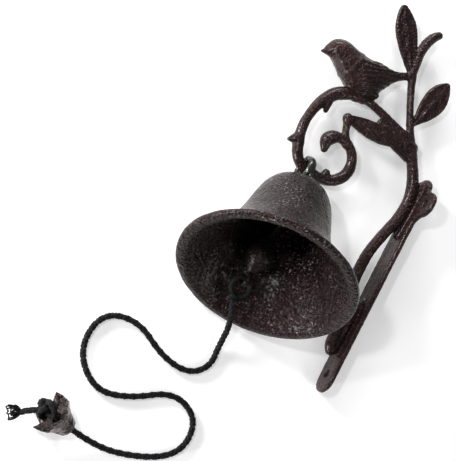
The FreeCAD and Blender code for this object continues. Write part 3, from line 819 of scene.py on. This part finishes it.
# ---- blossom weight ------------------------------------------------------------------------------
def make_weight():
    """A cast five-petalled cup: narrow at the cord's side, pointed petals at the knot."""
    base = END_KNOT - LAST_RUN * (10.2 + 6.1 + 0.35)
    side = LAST_RUN.orthogonal().normalized()
    third = LAST_RUN.cross(side)
    petals = 5
    segments = 120
    outside = [(2.6, 0.0), (4.4, 0.0), (5.4, 1.2), (5.9, 3.0), (6.7, 5.6), (7.9, 8.4), (9.3, 11.6),
               (10.6, 14.6), (11.3, 16.9)]
    inside = [(10.2, 16.6), (8.9, 14.0), (7.7, 11.8), (6.6, 10.3), (4.4, 10.1), (2.7, 10.1)]
    profile = outside + inside
    shell = len(outside)
    verts = []
    faces = []
    for k in range(segments):
        angle = 2 * math.pi * k / segments
        lobe = abs(math.sin(0.5 * petals * angle))
        point = 1.0 - abs(1.0 - 2.0 * ((petals * angle / (2 * math.pi)) % 1.0))
        for i, (radius, height) in enumerate(profile):
            open_part = max(0.0, (height - 7.0) / 10.0)
            cut = (1.0 - point) * 6.0 * max(0.0, (height - 10.4) / 6.5)
            ridge = 0.9 * (point - 0.5) * min(1.0, height / 6.0)
            if i >= shell:
                ridge *= 0.6
                cut = (1.0 - point) * 5.4 * max(0.0, (height - 10.4) / 6.5)
            reach = radius + ridge + 0.5 * open_part * (lobe - 0.5)
            verts.append(base + LAST_RUN * (height - cut) + side * (reach * math.cos(angle))
                         + third * (reach * math.sin(angle)))
    count = len(profile)
    for k in range(segments):
        for i in range(count):
            a = k * count + i
            b = k * count + (i + 1) % count
            c = ((k + 1) % segments) * count + (i + 1) % count
            d = ((k + 1) % segments) * count + i
            faces.append((a, d, c, b))
    weight = fused("blossom_weight", [(verts, faces)], voxel=0.35, rounds=1)

    def skin(place, normal):
        return 0.12 * pebbles(place, 2.2, 7.0) + 0.2 * pebbles(place, 6.0, 1.0)

    displace(weight, skin)
    keep_above(weight, 0.05)
    return weight


# ---- materials -----------------------------------------------------------------------------------
class Nodes:
    """Short names for building a node tree."""

    def __init__(self, name):
        self.material = bpy.data.materials.new(name)
        self.material.use_nodes = True
        self.tree = self.material.node_tree
        self.tree.nodes.clear()
        self.out = self.tree.nodes.new("ShaderNodeOutputMaterial")
        self.shader = self.tree.nodes.new("ShaderNodeBsdfPrincipled")
        self.link(self.shader.outputs["BSDF"], self.out.inputs["Surface"])
        self.coords = self.tree.nodes.new("ShaderNodeTexCoord").outputs["Object"]

    def link(self, a, b):
        self.tree.links.new(a, b)

    def noise(self, scale, detail=3.0, rough=0.55):
        node = self.tree.nodes.new("ShaderNodeTexNoise")
        node.inputs["Scale"].default_value = scale
        node.inputs["Detail"].default_value = detail
        node.inputs["Roughness"].default_value = rough
        self.link(self.coords, node.inputs["Vector"])
        return node.outputs["Fac"]

    def cells(self, scale):
        node = self.tree.nodes.new("ShaderNodeTexVoronoi")
        node.feature = "SMOOTH_F1"
        node.inputs["Scale"].default_value = scale
        self.link(self.coords, node.inputs["Vector"])
        return node.outputs["Distance"]

    def ramp(self, source, stops):
        node = self.tree.nodes.new("ShaderNodeValToRGB")
        band = node.color_ramp
        while len(band.elements) < len(stops):
            band.elements.new(0.5)
        for element, (place, colour) in zip(band.elements, stops):
            element.position = place
            element.color = colour if len(colour) == 4 else tuple(colour) + (1.0,)
        self.link(source, node.inputs["Fac"])
        return node.outputs["Color"]

    def mix(self, factor, a, b, kind="MIX"):
        node = self.tree.nodes.new("ShaderNodeMix")
        node.data_type = "RGBA"
        node.blend_type = kind
        colour_a, colour_b = node.inputs[6], node.inputs[7]
        for value, socket in ((factor, node.inputs["Factor"]), (a, colour_a), (b, colour_b)):
            if hasattr(value, "links"):
                self.link(value, socket)
            else:
                socket.default_value = value
        return node.outputs[2]

    def bump(self, height, strength, distance, before=None):
        node = self.tree.nodes.new("ShaderNodeBump")
        node.inputs["Strength"].default_value = strength
        node.inputs["Distance"].default_value = distance
        self.link(height, node.inputs["Height"])
        if before is not None:
            self.link(before, node.inputs["Normal"])
        return node.outputs["Normal"]


def grey(value):
    return (value, value, value, 1.0)


def iron(name, dark, warm, rough_low, rough_high, pit, coat, shine, painted_glint, scale=1.0):
    """Cast iron under brown-black lacquer: pebbled and patchy in tone, with painted glints:
    scattered lighter specks in the base colour standing in for highlights.
    """
    n = Nodes(name)
    patches = n.noise(38.0 * scale, 4.0, 0.6)
    tone = n.ramp(patches, [(0.32, dark), (0.68, warm)])
    specks = n.ramp(n.noise(900.0 * scale, 2.0), [(0.40, grey(0.55)), (0.62, grey(1.25))])
    skin = n.mix(1.0, tone, specks, "MULTIPLY")
    # painted glints: lighter specks mixed into the base colour at scattered noise peaks, standing
    # in for highlights on the pebbles
    glint_specks = n.ramp(n.noise(760.0, 2.0, 0.5), [(0.60, grey(0.0)), (0.70, grey(1.0))])
    glint_spread = n.ramp(n.noise(55.0, 2.0), [(0.42, grey(0.15)), (0.62, grey(1.0))])
    glint_mask = n.mix(1.0, glint_specks, glint_spread, "MULTIPLY")
    glinted_skin = n.mix(glint_mask, skin, (painted_glint, painted_glint * 0.93, painted_glint * 0.92, 1.0))
    n.link(glinted_skin, n.shader.inputs["Base Color"])
    polish = n.noise(240.0 * scale, 5.0, 0.65)
    gloss = n.ramp(polish, [(0.30, grey(rough_low)), (0.72, grey(rough_high))])
    n.link(gloss, n.shader.inputs["Roughness"])
    coarse = n.bump(n.noise(260.0 * scale, 2.0, 0.5), 0.55, 0.0011 * pit)
    grain = n.bump(n.cells(950.0 * scale), 1.0, 0.0006 * pit, coarse)
    fine = n.bump(n.noise(2100.0 * scale, 2.0, 0.6), 0.6, 0.00022 * pit, grain)
    n.link(fine, n.shader.inputs["Normal"])
    n.shader.inputs["Metallic"].default_value = 0.0
    n.shader.inputs["Specular IOR Level"].default_value = shine
    n.shader.inputs["Specular Tint"].default_value = (1.0, 0.70, 0.68, 1.0)
    n.shader.inputs["Coat Tint"].default_value = (1.0, 0.80, 0.78, 1.0)
    n.shader.inputs["Coat Weight"].default_value = coat
    n.shader.inputs["Coat Roughness"].default_value = 0.22
    return n.material


def enamel(name):
    n = Nodes(name)
    patches = n.noise(120.0, 3.0)
    tone = n.ramp(patches, [(0.35, (0.004, 0.004, 0.0045)), (0.7, (0.014, 0.012, 0.012))])
    n.link(tone, n.shader.inputs["Base Color"])
    gloss = n.ramp(n.noise(500.0, 4.0), [(0.35, grey(0.16)), (0.7, grey(0.38))])
    n.link(gloss, n.shader.inputs["Roughness"])
    dents = n.bump(n.noise(420.0, 3.0), 0.6, 0.0007)
    n.link(dents, n.shader.inputs["Normal"])
    n.shader.inputs["Coat Weight"].default_value = 0.5
    n.shader.inputs["Coat Roughness"].default_value = 0.12
    return n.material


def cord_fibre(name):
    n = Nodes(name)
    threads = n.noise(700.0, 3.0)
    tone = n.ramp(threads, [(0.3, (0.0010, 0.0010, 0.0011)), (0.7, (0.0034, 0.0034, 0.0036))])
    n.link(tone, n.shader.inputs["Base Color"])
    gloss = n.ramp(n.noise(900.0, 3.0), [(0.3, grey(0.34)), (0.7, grey(0.56))])
    n.link(gloss, n.shader.inputs["Roughness"])
    fibres = n.bump(n.noise(3200.0, 3.0, 0.7), 0.7, 0.00018)
    n.link(fibres, n.shader.inputs["Normal"])
    n.shader.inputs["Specular IOR Level"].default_value = 0.18
    n.shader.inputs["Sheen Weight"].default_value = 0.0
    n.shader.inputs["Sheen Roughness"].default_value = 0.45
    return n.material


def paint(obj, material):
    obj.data.materials.clear()
    obj.data.materials.append(material)


def tint_node(node, material):
    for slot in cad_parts[node].material_slots:
        slot.material = material


# the glint setting of each lacquer is the brightness of its painted glint specks
bracket_iron = iron("bracket_lacquer", (0.0065, 0.0038, 0.0038), (0.0200, 0.0098, 0.0094),
                    rough_low=0.16, rough_high=0.40, pit=1.4, coat=0.30, shine=0.20, painted_glint=0.06)
bell_iron = iron("bell_lacquer", (0.0032, 0.0021, 0.0021), (0.0095, 0.0050, 0.0048),
                 rough_low=0.12, rough_high=0.34, pit=1.9, coat=0.10, shine=0.17, painted_glint=0.16,
                 scale=0.85)
clapper_iron = iron("clapper_lacquer", (0.0022, 0.0017, 0.0017), (0.0050, 0.0035, 0.0035),
                    rough_low=0.20, rough_high=0.40, pit=1.2, coat=0.10, shine=0.12, painted_glint=0.04)
weight_iron = iron("weight_lacquer", (0.0030, 0.0020, 0.0020), (0.0080, 0.0042, 0.0040),
                   rough_low=0.10, rough_high=0.26, pit=2.2, coat=0.30, shine=0.36, painted_glint=0.20,
                   scale=0.42)
black_steel = enamel("loop_enamel")
cord_black = cord_fibre("cord_fibre")

# ---- pieces --------------------------------------------------------------------------------------
casting = make_casting()
paint(casting, bracket_iron)
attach(casting, "bracket")
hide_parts("wall_plate", "trunk", "twig", "arch", "scroll", "leaf_curled", "leaf_top",
            "leaf_small", "leaf_side", "bird")

bell = make_bell()
paint(bell, bell_iron)
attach(bell, "bell")
lug = make_lug()
paint(lug, bell_iron)
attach(lug, "bell")
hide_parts("bell")

ring = make_ring()
paint(ring, black_steel)
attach(ring, "ring")
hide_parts("hanging_ring")

link = make_link()
paint(link, black_steel)
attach(link, "link")
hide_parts("clapper_link")
tint_node("clapper_staple", black_steel)

clapper = make_clapper()
paint(clapper, clapper_iron)
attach(clapper, "clapper")
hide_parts("clapper")

cord, cord_path = make_cord()
paint(cord, cord_black)
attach(cord, "cord")
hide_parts("cord", "cord_lower")
top_knot = make_top_knot()
end_knot = make_end_knot()
tuft = make_tail()
for piece, node in ((top_knot, "cord_knot_top"), (end_knot, "cord_knot_end"), (tuft, "cord_tail")):
    paint(piece, cord_black)
    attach(piece, "cord")
    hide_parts(node)

weight = make_weight()
paint(weight, weight_iron)
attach(weight, "weight")
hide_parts("cord_weight")

# ---- floor, light and camera --------------------------------------------------------------------
def plain(name, colour, roughness, glow):
    n = Nodes(name)
    n.shader.inputs["Base Color"].default_value = (*colour, 1.0)
    n.shader.inputs["Roughness"].default_value = roughness
    n.shader.inputs["Emission Color"].default_value = (1.0, 1.0, 1.0, 1.0)
    n.shader.inputs["Emission Strength"].default_value = glow
    return n.material


floor = new_object("floor", [(-4, -4, 0), (4, -4, 0), (4, 4, 0), (-4, 4, 0)], [(0, 1, 2, 3)], False)
floor.location.z = -0.0002
paint(floor, plain("floor_white", (0.86, 0.86, 0.865), 0.6, 0.30))

world = bpy.data.worlds.new("studio")
world.use_nodes = True
world.node_tree.nodes["Background"].inputs["Color"].default_value = (1.0, 1.0, 1.0, 1.0)
world.node_tree.nodes["Background"].inputs["Strength"].default_value = 0.20
bpy.context.scene.world = world

AIM = row(-96.26, 37.62, 10.0)
BACK = Vector((-0.3476, -0.2143, 0.9128))
UP = Vector((-0.5109, 0.8596, 0.0072))
RIGHT = Vector((0.7862, 0.4638, 0.4083))


def soft_box(name, place, size, power):
    light = bpy.data.lights.new(name, "AREA")
    light.shape = "RECTANGLE"
    light.size = size[0]
    light.size_y = size[1]
    light.energy = power
    lamp = bpy.data.objects.new(name, light)
    bpy.context.scene.collection.objects.link(lamp)
    lamp.location = place
    lamp.rotation_mode = "QUATERNION"
    lamp.rotation_quaternion = (AIM - place).to_track_quat("-Z", "Y")


soft_box("key", AIM + BACK * 0.70 + UP * 0.75 - RIGHT * 0.60, (0.22, 0.22), 15.0)
soft_box("front", AIM + BACK * 0.90 + UP * 0.22 - RIGHT * 0.18, (0.05, 0.05), 2.6)
soft_box("side", AIM + BACK * 0.35 - RIGHT * 0.85 - UP * 0.25, (0.10, 0.6), 20.0)
soft_box("back", AIM + BACK * 0.25 + UP * 0.95 + RIGHT * 0.25, (0.6, 0.10), 7.0)
soft_box("low", AIM + BACK * 0.45 + RIGHT * 0.70 - UP * 0.65, (0.10, 0.5), 2.5)

camera_data = bpy.data.cameras.new("camera")
camera_data.lens = 122.4
camera_data.sensor_width = 36.0
camera_data.sensor_fit = "AUTO"
camera_data.clip_start = 0.01
camera_data.clip_end = 50.0
camera = bpy.data.objects.new("camera", camera_data)
bpy.context.scene.collection.objects.link(camera)
axes = Matrix((RIGHT.normalized(), UP.normalized(), BACK.normalized())).transposed()
camera.matrix_world = Matrix.Translation(AIM + BACK.normalized() * 0.850) @ axes.to_4x4()
bpy.context.scene.camera = camera
bpy.context.scene.view_settings.view_transform = "Standard"

bpy.context.view_layer.update()
